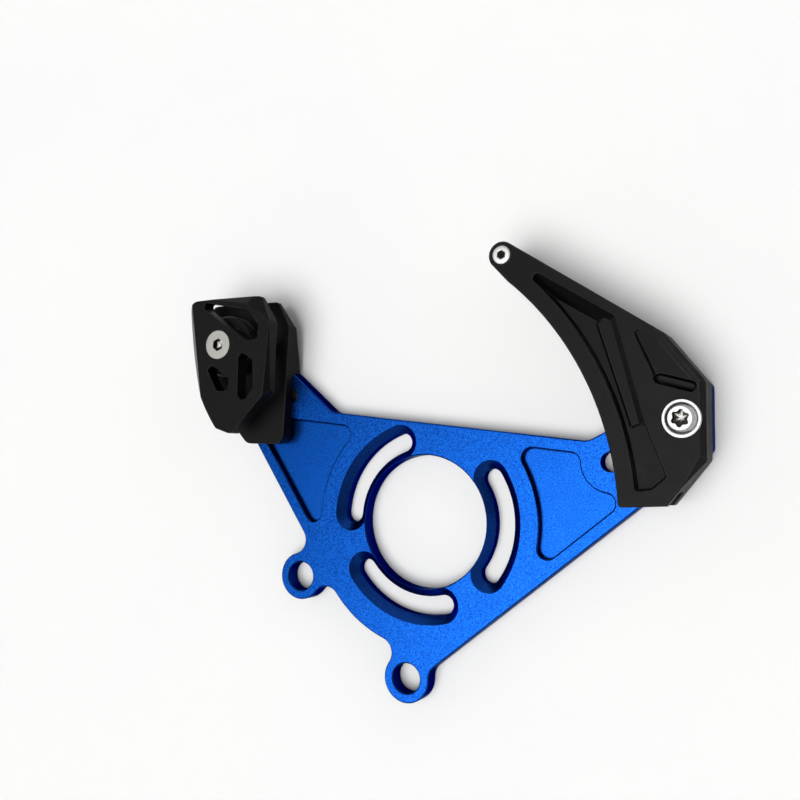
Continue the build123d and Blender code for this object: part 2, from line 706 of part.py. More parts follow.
lower_guide_outer_plate.part.label = "lower_guide_outer_plate"

# A lip over the edge of the backplate keeps the lower guide from turning, and thins towards its outer side
lip_foot = polar(lower_edge_gap + slide_clear, lower_slide_angle - 90)
with BuildPart() as lower_lip:
    with BuildSketch(at_bolt(lower_bolt, plate_t)):
        add(lower_inner_plan.sketch)
        with Locations(flat(lip_foot + polar(lip_reach / 2, lower_slide_angle - 90))):
            Rectangle(4 * lip_reach, lip_reach, rotation=lower_slide_angle, mode=Mode.INTERSECT)
    extrude(amount=-lip_drop)
    lip_slope = degrees(atan2(lip_drop, lip_reach))
    lip_end = lip_foot + polar(lip_reach, lower_slide_angle)
    lip_under = facet(lower_bolt, flat(lip_foot), flat(lip_end), plate_t - lip_drop, lip_slope)
    split(bisect_by=lip_under, keep=Keep.TOP)

inner_undercut = ((1.8, 22.5), (13.5, 18.8))
with BuildPart() as lower_guide_inner_plate:
    with BuildSketch(at_bolt(lower_bolt, plate_t)):
        add(lower_inner_plan.sketch)
    extrude(amount=inner_wall_z - plate_t)
    split(bisect_by=facet(lower_bolt, *inner_undercut, plate_t, under_slope), keep=Keep.BOTTOM)
    add(lower_lip.part)
    with BuildSketch(at_bolt(lower_bolt, inner_wall_z)):
        Circle(bearing_bore_d / 2 + race_t)
    extrude(amount=bearing_boss_h)
    with BuildSketch(at_bolt(lower_bolt, plate_t)):
        Circle(sleeve_r + fit)
    extrude(amount=inner_wall_z + bearing_boss_h - plate_t, mode=Mode.SUBTRACT)
    with BuildSketch(at_bolt(lower_bolt, inner_wall_z)):
        with Locations((peg_x, peg_y)):
            Circle(peg_r)
    extrude(amount=channel_w + peg_seat - slide_clear)
lower_guide_inner_plate.part.label = "lower_guide_inner_plate"

with BuildPart() as lower_guide_bolt:
    with BuildSketch(turning_plane(lower_bolt, 0)):
        Polygon(
            (0, bolt_end_gap),
            (lower_bolt_d / 2 - end_chamfer, bolt_end_gap),
            (lower_bolt_d / 2, bolt_end_gap + end_chamfer),
            (lower_bolt_d / 2, lower_top_z - (lower_head_d - lower_bolt_d) / 2),
            (lower_head_d / 2, lower_top_z),
            (0, lower_top_z),
            align=None,
        )
    revolve(axis=bolt_axis(lower_bolt))
    with BuildSketch(at_bolt(lower_bolt, lower_top_z)):
        RegularPolygon(lower_socket_af / 2, 6, major_radius=False)
    extrude(amount=-socket_depth, mode=Mode.SUBTRACT)
lower_guide_bolt.part.label = "lower_guide_bolt"

with BuildPart() as lower_guide_slot_nut:
    with BuildSketch(at_bolt(lower_bolt, groove_depth - nut_t)):
        slide_slot(-nut_flat / 2, nut_flat / 2, lower_nut_w, lower_slide_angle)
        Circle(lower_bolt_d / 2 + fit, mode=Mode.SUBTRACT)
    extrude(amount=nut_t)
lower_guide_slot_nut.part.label = "lower_guide_slot_nut"

with BuildPart() as lower_guide_sleeve:
    with BuildSketch(at_bolt(lower_bolt, plate_t)):
        Circle(sleeve_r)
        Circle(lower_bolt_d / 2 + hole_clear, mode=Mode.SUBTRACT)
    extrude(amount=outer_wall_z + sleeve_seat - plate_t)
lower_guide_sleeve.part.label = "lower_guide_sleeve"

# Roller: a grooved rim, with a shoulder behind the bearing
roller_half_w = channel_w / 2 - roller_side_gap
with BuildPart() as lower_guide_roller:
    with BuildSketch(turning_plane(lower_bolt, chain_line)):
        Polygon(
            (bearing_d / 2 - race_t / 2, -roller_half_w),
            (roller_r - roller_chamfer, -roller_half_w),
            (roller_r, roller_chamfer - roller_half_w),
            (roller_r, -roller_groove_w / 2),
            (roller_r - roller_groove, roller_groove - roller_groove_w / 2),
            (roller_r - roller_groove, roller_groove_w / 2 - roller_groove),
            (roller_r, roller_groove_w / 2),
            (roller_r, roller_half_w - roller_chamfer),
            (roller_r - roller_chamfer, roller_half_w),
            (bearing_d / 2, roller_half_w),
            (bearing_d / 2, -bearing_w / 2),
            (bearing_d / 2 - race_t / 2, -bearing_w / 2),
            align=None,
        )
    revolve(axis=bolt_axis(lower_bolt))
lower_guide_roller.part.label = "lower_guide_roller"

with BuildPart() as bearing_inner_race:
    with BuildSketch(turning_plane(lower_bolt, chain_line)):
        with Locations((bearing_bore_d / 2 + race_t / 2, 0)):
            Rectangle(race_t, bearing_w)
        with Locations((ball_circle_r, 0)):
            Circle(ball_d / 2 + fit, mode=Mode.SUBTRACT)
    revolve(axis=bolt_axis(lower_bolt))
bearing_inner_race.part.label = "bearing_inner_race"

with BuildPart() as bearing_outer_race:
    with BuildSketch(turning_plane(lower_bolt, chain_line)):
        with Locations((bearing_d / 2 - fit - race_t / 2, 0)):
            Rectangle(race_t, bearing_w)
        with Locations((ball_circle_r, 0)):
            Circle(ball_d / 2 + fit, mode=Mode.SUBTRACT)
    revolve(axis=bolt_axis(lower_bolt))
bearing_outer_race.part.label = "bearing_outer_race"

with BuildPart() as bearing_balls:
    with Locations(at_bolt(lower_bolt, chain_line)):
        with PolarLocations(ball_circle_r, ball_count):
            Sphere(ball_d / 2)
bearing_balls.part.label = "bearing_balls"

with BuildPart() as bearing_cage:
    with BuildSketch(at_bolt(lower_bolt, chain_line)):
        Circle(ball_circle_r + cage_t / 2)
        Circle(ball_circle_r - cage_t / 2, mode=Mode.SUBTRACT)
    extrude(amount=ball_d / 2 + cage_rail, both=True)
    with Locations(at_bolt(lower_bolt, chain_line)):
        with PolarLocations(ball_circle_r, ball_count):
            Cylinder(ball_d / 2 + cage_clear, 2 * cage_t, rotation=(0, 90, 0), mode=Mode.SUBTRACT)
bearing_cage.part.label = "bearing_cage"

with BuildPart() as bearing_front_shield:
    with BuildSketch(at_bolt(lower_bolt, chain_line + bearing_w / 2 - shield_inset)):
        Circle(bearing_d / 2 - race_t - 2 * fit)
        Circle(bearing_bore_d / 2 + race_t + shield_inset, mode=Mode.SUBTRACT)
    extrude(amount=-shield_t)
bearing_front_shield.part.label = "bearing_front_shield"

with BuildPart() as bearing_rear_shield:
    with BuildSketch(at_bolt(lower_bolt, chain_line - bearing_w / 2 + shield_inset)):
        Circle(bearing_d / 2 - race_t - 2 * fit)
        Circle(bearing_bore_d / 2 + race_t + shield_inset, mode=Mode.SUBTRACT)
    extrude(amount=shield_t)
bearing_rear_shield.part.label = "bearing_rear_shield"

os.makedirs("parts", exist_ok=True)
export_step(backplate.part, "parts/backplate.step")
export_step(upper_guide_outer_shell.part, "parts/upper_guide_outer_shell.step")
export_step(upper_guide_inner_shell.part, "parts/upper_guide_inner_shell.step")
export_step(upper_guide_bush.part, "parts/upper_guide_bush.step")
export_step(upper_guide_bolt.part, "parts/upper_guide_bolt.step")
export_step(upper_guide_slot_nut.part, "parts/upper_guide_slot_nut.step")
export_step(upper_guide_tip_bolt.part, "parts/upper_guide_tip_bolt.step")
export_step(upper_guide_tip_nut.part, "parts/upper_guide_tip_nut.step")
export_step(lower_guide_outer_plate.part, "parts/lower_guide_outer_plate.step")
export_step(lower_guide_inner_plate.part, "parts/lower_guide_inner_plate.step")
export_step(lower_guide_bolt.part, "parts/lower_guide_bolt.step")
export_step(lower_guide_slot_nut.part, "parts/lower_guide_slot_nut.step")
export_step(lower_guide_sleeve.part, "parts/lower_guide_sleeve.step")
export_step(lower_guide_roller.part, "parts/lower_guide_roller.step")
export_step(bearing_inner_race.part, "parts/bearing_inner_race.step")
export_step(bearing_outer_race.part, "parts/bearing_outer_race.step")
export_step(bearing_balls.part, "parts/bearing_balls.step")
export_step(bearing_cage.part, "parts/bearing_cage.step")
export_step(bearing_front_shield.part, "parts/bearing_front_shield.step")
export_step(bearing_rear_shield.part, "parts/bearing_rear_shield.step")
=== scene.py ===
"""Dressed scene of a bicycle chain guide that lies on a pale studio floor.

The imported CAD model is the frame. This script gives each node its finish, makes the threaded fasteners
as meshes, and sets the floor, the light and the camera. Lengths are metres unless a name ends in _mm.
"""

import logging
import math
from collections.abc import Callable, Sequence
from dataclasses import dataclass, replace
from enum import Enum

import bmesh
import bpy
from mathutils import Matrix, Vector


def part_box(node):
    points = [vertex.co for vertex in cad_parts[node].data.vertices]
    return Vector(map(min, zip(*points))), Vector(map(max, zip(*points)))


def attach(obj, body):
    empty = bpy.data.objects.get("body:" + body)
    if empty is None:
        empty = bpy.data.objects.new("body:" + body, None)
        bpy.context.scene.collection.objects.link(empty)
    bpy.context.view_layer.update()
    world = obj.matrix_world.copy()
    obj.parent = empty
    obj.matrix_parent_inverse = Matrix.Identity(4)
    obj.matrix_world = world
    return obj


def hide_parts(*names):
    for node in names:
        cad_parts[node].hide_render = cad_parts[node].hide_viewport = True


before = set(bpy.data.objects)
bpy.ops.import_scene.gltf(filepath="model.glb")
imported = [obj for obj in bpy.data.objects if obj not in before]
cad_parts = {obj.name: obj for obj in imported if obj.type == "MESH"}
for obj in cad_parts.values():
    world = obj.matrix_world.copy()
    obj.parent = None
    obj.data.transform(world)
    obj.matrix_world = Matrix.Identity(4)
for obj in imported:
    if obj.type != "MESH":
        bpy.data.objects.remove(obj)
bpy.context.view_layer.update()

LOG = logging.getLogger("chain_guide")
MM = 0.001
Socket = bpy.types.NodeSocket
Value = Socket | float | tuple[float, ...] | Vector
Colour = tuple[float, float, float, float]
Pair = tuple[float, float]
Profile = tuple[Pair, ...]
Outline = Callable[[float], float]


class Slot(Enum):
    """Material slots of the record."""

    PLATE = "anodised_plate"
    GUIDE = "black_plastic"
    ROLLER = "roller_plastic"
    BRIGHT = "bright_steel"
    PLAIN = "plain_steel"
    ALUMINIUM = "plain_aluminium"


class Body(Enum):
    """Bodies of the frame that the fasteners ride on."""

    UPPER = "upper_carriage"
    LOWER = "lower_carriage"


class Drive(Enum):
    """Shapes of a screw's socket."""

    HEXAGON = "hexagon"
    LOBED = "lobed"


class Metric(Enum):
    """Diameter and pitch of the threads, in millimetres."""

    M3 = (3.0, 0.5)
    M5 = (5.0, 0.8)
    M6 = (6.0, 1.0)


class Nodes:
    """Adds and joins the nodes of one shader tree."""

    def __init__(self, tree: bpy.types.NodeTree) -> None:
        """Empties a tree and starts on it.

        Args:
            tree: The tree of a material, a world or a group.
        """
        self.tree = tree
        tree.nodes.clear()

    def put(self, socket: Socket, value: Value) -> None:
        """Joins a socket to an output, or sets its value.

        Args:
            socket: The input.
            value: An output to join, or the value itself.
        """
        if isinstance(value, bpy.types.NodeSocket):
            self.tree.links.new(value, socket)
        else:
            socket.default_value = value

    def add(
        self, kind: str, inputs: dict[str | int, Value] | None = None, **settings: object
    ) -> bpy.types.Node:
        """Adds a node.

        Args:
            kind: Its type, without the prefix that all shader nodes have.
            inputs: Values and outputs for its inputs.
            **settings: Its properties.

        Returns:
            The node.
        """
        node = self.tree.nodes.new("ShaderNode" + kind)
        for name, setting in settings.items():
            setattr(node, name, setting)
        for key, value in (inputs or {}).items():
            self.put(node.inputs[key], value)
        return node

    def math(self, operation: str, *values: Value, clamp: bool = False) -> Socket:
        """Adds a Math node.

        Args:
            operation: What it works out.
            *values: Its inputs, in order.
            clamp: True to keep the result from 0 to 1.

        Returns:
            Its output.
        """
        node = self.add("Math", dict(enumerate(values)), operation=operation, use_clamp=clamp)
        return node.outputs[0]

    def ramp(self, value: Value, span: Pair, result: Pair = (0.0, 1.0)) -> Socket:
        """Eases a value from one range to another.

        Args:
            value: The value.
            span: Where the value's range begins and ends.
            result: What the two ends of that range become.

        Returns:
            The eased value.
        """
        inputs = {
            "Value": value,
            "From Min": span[0],
            "From Max": span[1],
            "To Min": result[0],
            "To Max": result[1],
        }
        return self.add("MapRange", inputs, interpolation_type="SMOOTHSTEP").outputs[0]

    def blend(self, factor: Value, a: Value, b: Value) -> Socket:
        """Mixes two colours.

        Args:
            factor: Share of the second colour.
            a: First colour.
            b: Second colour.

        Returns:
            The mixed colour.
        """
        node = self.add("Mix", data_type="RGBA")
        for key, value in (("Factor_Float", factor), ("A_Color", a), ("B_Color", b)):
            self.put(next(s for s in node.inputs if s.identifier == key), value)
        return next(s for s in node.outputs if s.identifier == "Result_Color")

    def noise(self, scale: Value, detail: float, roughness: float = 0.5, distortion: float = 0.0) -> Socket:
        """Adds a noise over the object's own coordinates.

        Args:
            scale: Its waves to the metre.
            detail: Number of finer layers.
            roughness: How strong each finer layer is.
            distortion: How far the noise is stirred.

        Returns:
            The noise, from 0 to 1.
        """
        place = self.add("TexCoord").outputs["Object"]
        inputs = {
            "Vector": place,
            "Scale": scale,
            "Detail": detail,
            "Roughness": roughness,
            "Distortion": distortion,
        }
        return self.add("TexNoise", inputs).outputs["Fac"]

    def cells(self, scale: Value) -> Socket:
        """Adds scattered points over the object's own coordinates.

        Args:
            scale: Their number to the metre.

        Returns:
            The distance from the nearest point.
        """
        place = self.add("TexCoord").outputs["Object"]
        return self.add("TexVoronoi", {"Vector": place, "Scale": scale}).outputs["Distance"]


class Group(Nodes):
    """A shader group in the making, with its sockets."""

    def __init__(self, name: str, inputs: dict[str, float], outputs: dict[str, str]) -> None:
        """Makes the sockets, and the nodes inside that they lead to.

        Args:
            name: Name of the group.
            inputs: Default of each value that goes in, by name.
            outputs: Kind of each output by name, such as Float or Vector.
        """
        super().__init__(bpy.data.node_groups.new(name, "ShaderNodeTree"))
        face = self.tree.interface
        for label, default in inputs.items():
            socket = face.new_socket(label, in_out="INPUT", socket_type="NodeSocketFloat")
            socket.default_value = default
        for label, kind in outputs.items():
            face.new_socket(label, in_out="OUTPUT", socket_type="NodeSocket" + kind)
        self.into = self.tree.nodes.new("NodeGroupInput").outputs
        self.out = self.tree.nodes.new("NodeGroupOutput").inputs


@dataclass(frozen=True)
class Effects:
    """Shader groups that more than one finish uses."""

    blast: bpy.types.NodeTree
    rounding: bpy.types.NodeTree
    handling: bpy.types.NodeTree
    turning: bpy.types.NodeTree


@dataclass(frozen=True)
class PittedGrain:
    """Fine pitted grain, as bead blasting or a textured mould leaves it."""

    grain_scale: float = 4200.0
    grain_detail: float = 2.0
    grain_roughness: float = 0.6
    pit_share: float = 0.5
    speckle: Pair = (0.38, 0.62)
    cloud_scale: float = 55.0
    cloud_detail: float = 3.0

    def group(self) -> bpy.types.NodeTree:
        """Builds the group.

        Returns:
            The group, with a grain height, a speckle mask and a slow cloud over the surface.
        """
        outputs = {"Height": "Float", "Speckle": "Float", "Cloud": "Float"}
        group = Group("pitted_grain", {"Grain": self.grain_scale}, outputs)
        grain = group.noise(group.into["Grain"], self.grain_detail, self.grain_roughness)
        pits = group.cells(group.into["Grain"])
        group.put(group.out["Height"], group.math("MULTIPLY_ADD", pits, self.pit_share, grain))
        group.put(group.out["Speckle"], group.ramp(grain, self.speckle))
        group.put(group.out["Cloud"], group.noise(self.cloud_scale, self.cloud_detail))
        return group.tree


@dataclass(frozen=True)
class RoundedEdges:
    """Rounded normal along the edges, and masks that tell edges, slopes, walls and corners apart."""

    radius: float = 0.3 * MM
    samples: int = 6
    edge: Pair = (0.998, 0.92)
    slope: Pair = (0.98, 0.9)
    bevel_top: Pair = (0.45, 0.30)
    bevel_foot: Pair = (0.06, 0.14)
    wall: Pair = (0.14, 0.06)
    corner: Pair = (0.85, 0.55)
    corner_reach: float = 0.9 * MM
    corner_samples: int = 8

    def group(self) -> bpy.types.NodeTree:
        """Builds the group.

        Returns:
            The group, with a normal, and masks of edges, slopes, steep bevels, walls and inner corners.
        """
        masks = dict.fromkeys(("Edge", "Slope", "Bevel", "Wall", "Corner"), "Float")
        group = Group("rounded_edges", {"Radius": self.radius}, {"Normal": "Vector", **masks})
        rounded = group.add("Bevel", {"Radius": group.into["Radius"]}, samples=self.samples).outputs[0]
        facing = group.add("NewGeometry").outputs["True Normal"]
        turn = group.add("VectorMath", {0: rounded, 1: facing}, operation="DOT_PRODUCT").outputs["Value"]
        upward = group.math("ABSOLUTE", group.add("SeparateXYZ", {0: facing}).outputs["Z"])
        group.put(group.out["Normal"], rounded)
        group.put(group.out["Edge"], group.ramp(turn, self.edge))
        group.put(group.out["Slope"], group.ramp(upward, self.slope))
        steep = group.ramp(upward, self.bevel_top)
        group.put(group.out["Bevel"], group.math("MULTIPLY", steep, group.ramp(upward, self.bevel_foot)))
        group.put(group.out["Wall"], group.ramp(upward, self.wall))
        reach = {"Distance": self.corner_reach}
        nook = group.add("AmbientOcclusion", reach, samples=self.corner_samples, only_local=True)
        group.put(group.out["Corner"], group.ramp(nook.outputs["AO"], self.corner))
        return group.tree


@dataclass(frozen=True)
class HandlingMarks:
    """Faint smears and dust that handling leaves."""

    smear_scale: float = 140.0
    smear_detail: float = 4.0
    smear_stir: float = 1.2
    smear: Pair = (0.35, 0.75)
    speck_scale: float = 620.0
    speck: Pair = (0.12, 0.05)
    patch_scale: float = 90.0
    patch_detail: float = 2.0
    patch: Pair = (0.5, 0.72)

    def group(self) -> bpy.types.NodeTree:
        """Builds the group.

        Returns:
            The group, with a smear mask and a mask of dust specks.
        """
        outputs = {"Smear": "Float", "Dust": "Float"}
        group = Group("handling_marks", {"Smear Scale": self.smear_scale}, outputs)
        smear = group.noise(group.into["Smear Scale"], self.smear_detail, distortion=self.smear_stir)
        specks = group.ramp(group.cells(self.speck_scale), self.speck)
        patches = group.ramp(group.noise(self.patch_scale, self.patch_detail), self.patch)
        group.put(group.out["Smear"], group.ramp(smear, self.smear))
        group.put(group.out["Dust"], group.math("MULTIPLY", specks, patches))
        return group.tree


@dataclass(frozen=True)
class TurnedRings:
    """Concentric marks that a lathe leaves round an upright axis."""

    rings: float = 2600.0
    rise_share: float = 0.7
    streak: Pair = (0.3, 0.7)

    def group(self) -> bpy.types.NodeTree:
        """Builds the group.

        Returns:
            The group, with a ring height and a streak that varies from ring to ring.
        """
        inputs = {"Axis X": 0.0, "Axis Y": 0.0, "Rings": self.rings}
        group = Group("turned_rings", inputs, {"Height": "Float", "Streak": "Float"})
        place = group.add("SeparateXYZ", {0: group.add("TexCoord").outputs["Object"]}).outputs
        across = group.math("SUBTRACT", place["X"], group.into["Axis X"])
        along = group.math("SUBTRACT", place["Y"], group.into["Axis Y"])
        squares = [group.math("POWER", side, 2.0) for side in (across, along)]
        radius = group.math("SQRT", group.math("ADD", *squares))
        spread = group.math("MULTIPLY_ADD", place["Z"], self.rise_share, radius)
        count = group.math("MULTIPLY", spread, group.into["Rings"])
        noise = group.add("TexNoise", {"W": count, "Scale": 1.0}, noise_dimensions="1D").outputs["Fac"]
        group.put(group.out["Height"], noise)
        group.put(group.out["Streak"], group.ramp(noise, self.streak))
        return group.tree


class Finish:
    """A material in the making: one shader with groups that feed it."""

    def __init__(self, name: str) -> None:
        """Starts a material.

        Args:
            name: Name of the material.
        """
        self.material = bpy.data.materials.new(name)
        self.material.use_nodes = True
        self.nodes = Nodes(self.material.node_tree)
        self.shader = self.nodes.add("BsdfPrincipled")
        output = self.nodes.add("OutputMaterial")
        self.nodes.put(output.inputs["Surface"], self.shader.outputs[0])

    def use(self, tree: bpy.types.NodeTree, **values: Value) -> dict[str, Socket]:
        """Places a shared group in the material.

        Args:
            tree: The group.
            **values: Its inputs, with underscores for spaces.

        Returns:
            Its outputs by name.
        """
        node = self.nodes.add("Group", node_tree=tree)
        for label, value in values.items():
            self.nodes.put(node.inputs[label.replace("_", " ")], value)
        return {socket.name: socket for socket in node.outputs}

    def set(self, **values: Value) -> None:
        """Sets or joins inputs of the shader, with underscores for spaces."""
        for label, value in values.items():
            self.nodes.put(self.shader.inputs[label.replace("_", " ")], value)

    def bump(self, height: Value, distance: float, strength: float, normal: Value) -> Socket:
        """Adds a bump over a normal.

        Args:
            height: Height of the surface, from 0 to 1.
            distance: Height that 1 stands for.
            strength: How much of it shows.
            normal: Normal that it is laid over.

        Returns:
            The bumped normal.
        """
        inputs = {"Height": height, "Distance": distance, "Strength": strength, "Normal": normal}
        return self.nodes.add("Bump", inputs).outputs[0]


@dataclass(frozen=True)
class AnodisedFinish:
    """Dyed, bead blasted aluminium with smooth milled slopes, and painted shade on its slopes, walls and
    inner corners.
    """

    face: Colour = (0.0022, 0.034, 0.228, 1.0)
    grain: Colour = (0.0074, 0.103, 0.500, 1.0)
    # Painted shade: slopes, walls and inner corners take these three darker colours.
    slope_shade: Colour = (0.0055, 0.0400, 0.2250, 1.0)
    wall: Colour = (0.0030, 0.0250, 0.1450, 1.0)
    corner: Colour = (0.0012, 0.0080, 0.0500, 1.0)
    edge_tint: Colour = (0.048, 0.160, 0.400, 1.0)
    roughness: float = 0.29
    grain_roughness: float = 0.08
    smear_roughness: float = -0.03
    slope_roughness: float = -0.06
    edge_radius: float = 0.15 * MM
    # The noise fades on its own lattice planes. This scale keeps the plate's flat faces off them.
    grain_scale: float = 3090.0
    smear_scale: float = 60.0
    pit_depth: float = 0.016 * MM
    pit_strength: float = 0.5

    def material(self, effects: Effects) -> bpy.types.Material:
        """Builds the finish.

        Args:
            effects: The shared groups.

        Returns:
            The material.
        """
        finish = Finish("blue_anodising")
        nodes = finish.nodes
        grain = finish.use(effects.blast, Grain=self.grain_scale)
        edges = finish.use(effects.rounding, Radius=self.edge_radius)
        marks = finish.use(effects.handling, Smear_Scale=self.smear_scale)
        dyed = nodes.blend(grain["Speckle"], self.face, self.grain)
        # Painted shade: the dyed colour darkens on slopes, on walls and in inner corners.
        slope_shaded = nodes.blend(edges["Slope"], dyed, self.slope_shade)
        wall_shaded = nodes.blend(edges["Wall"], slope_shaded, self.wall)
        colour = nodes.blend(edges["Corner"], wall_shaded, self.corner)
        satin = nodes.math("MULTIPLY_ADD", grain["Speckle"], self.grain_roughness, self.roughness)
        smeared = nodes.math("MULTIPLY_ADD", marks["Smear"], self.smear_roughness, satin)
        roughness = nodes.math("MULTIPLY_ADD", edges["Slope"], self.slope_roughness, smeared)
        finish.set(Base_Color=colour, Roughness=roughness, Metallic=1.0, Specular_Tint=self.edge_tint)
        finish.set(Normal=finish.bump(grain["Height"], self.pit_depth, self.pit_strength, edges["Normal"]))
        return finish.material


@dataclass(frozen=True)
class MouldedFinish:
    """Dark moulded plastic with a finely etched face and smoother slopes, with painted shade on the slopes
    and painted highlights along the outer edges.
    """

    name: str
    colour: Colour = (0.0062, 0.0061, 0.0066, 1.0)
    # Painted shade: slopes take this darker colour.
    slope: Colour = (0.0018, 0.0018, 0.0020, 1.0)
    # Painted highlight: outer edges take this lighter colour, in cloudy patches.
    edge_highlight: Colour = (0.090, 0.090, 0.094, 1.0)
    dust: Colour = (0.060, 0.060, 0.064, 1.0)
    roughness: float = 0.44
    etch_roughness: float = 0.08
    smear_roughness: float = -0.06
    slope_roughness: float = -0.18
    bevel_roughness: float = 0.60
    wall_roughness: float = 0.28
    gloss: float = 0.112
    edge_radius: float = 0.28 * MM
    highlight_cloud: Pair = (0.35, 0.7)
    highlight_share: Pair = (0.3, 0.8)
    dust_share: float = 0.18
    etch_scale: float = 2600.0
    smear_scale: float = 120.0
    etch_depth: float = 0.010 * MM
    etch_strength: float = 0.30

    def material(self, effects: Effects) -> bpy.types.Material:
        """Builds the finish.

        Args:
            effects: The shared groups.

        Returns:
            The material.
        """
        finish = Finish(self.name)
        nodes = finish.nodes
        grain = finish.use(effects.blast, Grain=self.etch_scale)
        edges = finish.use(effects.rounding, Radius=self.edge_radius)
        marks = finish.use(effects.handling, Smear_Scale=self.smear_scale)
        # The edge mask takes in inner corners, and only the outer edges get the painted highlight.
        ridge = nodes.math("SUBTRACT", edges["Edge"], edges["Corner"], clamp=True)
        highlight_mask = nodes.math("MULTIPLY", ridge, nodes.ramp(grain["Cloud"], self.highlight_cloud, self.highlight_share))
        # Painted shade darkens the slopes.
        moulded = nodes.blend(edges["Slope"], self.colour, self.slope)
        shade_and_highlight = nodes.blend(highlight_mask, moulded, self.edge_highlight)
        colour = nodes.blend(nodes.math("MULTIPLY", marks["Dust"], self.dust_share), shade_and_highlight, self.dust)
        # Only the flat faces are etched.
        flat = nodes.math("SUBTRACT", 1.0, edges["Slope"])
        speckle = nodes.math("MULTIPLY", grain["Speckle"], flat)
        etched = nodes.math("MULTIPLY_ADD", speckle, self.etch_roughness, self.roughness)
        smeared = nodes.math("MULTIPLY_ADD", marks["Smear"], self.smear_roughness, etched)
        polished = nodes.math("MULTIPLY_ADD", edges["Slope"], self.slope_roughness, smeared)
        bevelled = nodes.math("MULTIPLY_ADD", edges["Bevel"], self.bevel_roughness, polished)
        roughness = nodes.math("MULTIPLY_ADD", edges["Wall"], self.wall_roughness, bevelled)
        finish.set(Base_Color=colour, Roughness=roughness, Specular_IOR_Level=self.gloss)
        etching = nodes.math("MULTIPLY", grain["Height"], flat)
        finish.set(Normal=finish.bump(etching, self.etch_depth, self.etch_strength, edges["Normal"]))
        return finish.material


@dataclass(frozen=True)
class TurnedFinish:
    """Bare metal turned on a lathe, with rings about its own axis."""

    name: str
    colour: Colour = (0.48, 0.48, 0.49, 1.0)
    shade: Colour = (0.28, 0.28, 0.29, 1.0)
    roughness: float = 0.20
    streak_share: float = 0.6
    streak_roughness: float = 0.10
    smear_roughness: float = 0.08
    rings: float = 2600.0
    edge_radius: float = 0.12 * MM
    smear_scale: float = 420.0
    ring_depth: float = 0.02 * MM
    ring_strength: float = 0.3
    # Painted shade: a socket's faces take these darker colours.
    socket_shade: Colour = (0.250, 0.246, 0.235, 1.0)
    socket_streak_shade: Colour = (0.055, 0.054, 0.051, 1.0)
    hollow_roughness: float = 0.10

    def material(self, effects: Effects, axis: Pair) -> bpy.types.Material:
        """Builds the finish.

        Args:
            effects: The shared groups.
            axis: Where the axis of the rings stands in plan.

        Returns:
            The material.
        """
        finish = Finish(self.name)
        nodes = finish.nodes
        rings = finish.use(effects.turning, Axis_X=axis[0], Axis_Y=axis[1], Rings=self.rings)
        edges = finish.use(effects.rounding, Radius=self.edge_radius)
        marks = finish.use(effects.handling, Smear_Scale=self.smear_scale)
        share = nodes.math("MULTIPLY", rings["Streak"], self.streak_share)
        colour = nodes.blend(share, self.colour, self.shade)
        streaked = nodes.math("MULTIPLY_ADD", rings["Streak"], self.streak_roughness, self.roughness)
        roughness = nodes.math("MULTIPLY_ADD", marks["Smear"], self.smear_roughness, streaked)
        finish.set(Base_Color=colour, Roughness=roughness, Metallic=1.0)
        finish.set(Normal=finish.bump(rings["Height"], self.ring_depth, self.ring_strength, edges["Normal"]))
        return finish.material

    def inside(self) -> "TurnedFinish":
        """The finish of a punched socket, darkened with painted shade."""
        dark = {"colour": self.socket_shade, "shade": self.socket_streak_shade, "roughness": self.hollow_roughness}
        return replace(self, name=self.name + "_socket", **dark)


@dataclass(frozen=True)
class FloorFinish:
    """Pale matte sheet with a faint mottle."""

    colour: Colour = (0.985, 0.990, 0.990, 1.0)
    mottle: Colour = (0.965, 0.972, 0.975, 1.0)
    mottle_scale: float = 9.0
    mottle_detail: float = 3.0
    mottle_span: Pair = (0.4, 0.7)
    roughness: float = 0.6
    gloss: float = 0.15

    def material(self) -> bpy.types.Material:
        """Builds the sheet's material.

        Returns:
            The material.
        """
        finish = Finish("pale_sheet")
        cloud = finish.nodes.noise(self.mottle_scale, self.mottle_detail)
        share = finish.nodes.ramp(cloud, self.mottle_span)
        colour = finish.nodes.blend(share, self.colour, self.mottle)
        finish.set(Base_Color=colour, Roughness=self.roughness, Specular_IOR_Level=self.gloss)
        return finish.material


def dress(node: str, material: bpy.types.Material) -> None:
    """Gives a CAD node its finish.

    Args:
        node: Name of the node.
        material: The finish.
    """
    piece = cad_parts[node]
    piece.data.materials.clear()
    piece.data.materials.append(material)
    LOG.info("%s takes %s", node, material.name)


def axis_of(node: str) -> Pair:
    """Finds the upright axis of a round node.

    Args:
        node: Name of the node.

    Returns:
        Where the axis stands in plan.
    """
    low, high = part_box(node)
    return ((low.x + high.x) / 2, (low.y + high.y) / 2)


@dataclass(frozen=True)
class Thread:
    """A right-hand thread on an upright axis."""

    diameter: float
    pitch: float
    depth_share: float = 0.61
    crest: float = 0.125
    root: float = 0.25

    @classmethod
    def of(cls, size: Metric) -> "Thread":
        """The thread of a metric size."""
        return cls(*(length * MM for length in size.value))

    def radius(self, turn: float, z: float) -> float:
        """Radius of the thread's surface.

        Args:
            turn: Angle about the axis, in turns.
            z: Height.

        Returns:
            The radius there.
        """
        flank = abs(2.0 * ((z / self.pitch - turn) % 1.0) - 1.0)
        share = (flank - self.crest) / (1.0 - self.crest - self.root)
        return self.diameter / 2 - self.depth_share * self.pitch * min(max(share, 0.0), 1.0)


def hexagon(width: float) -> Outline:
    """Outline of a hexagon.

    Args:
        width: Width across its flats.

    Returns:
        Its radius as a function of the angle in turns.
    """
    return lambda turn: width / 2 / math.cos((6 * turn % 1.0 - 0.5) * math.tau / 6)


def lobes(width: float, depth: float) -> Outline:
    """Outline of a socket with six rounded lobes.

    Args:
        width: Width over the lobes.
        depth: Depth of the hollows between them.

    Returns:
        Its radius as a function of the angle in turns.
    """
    return lambda turn: (width - depth) / 2 + depth / 2 * math.cos(6 * math.tau * turn)


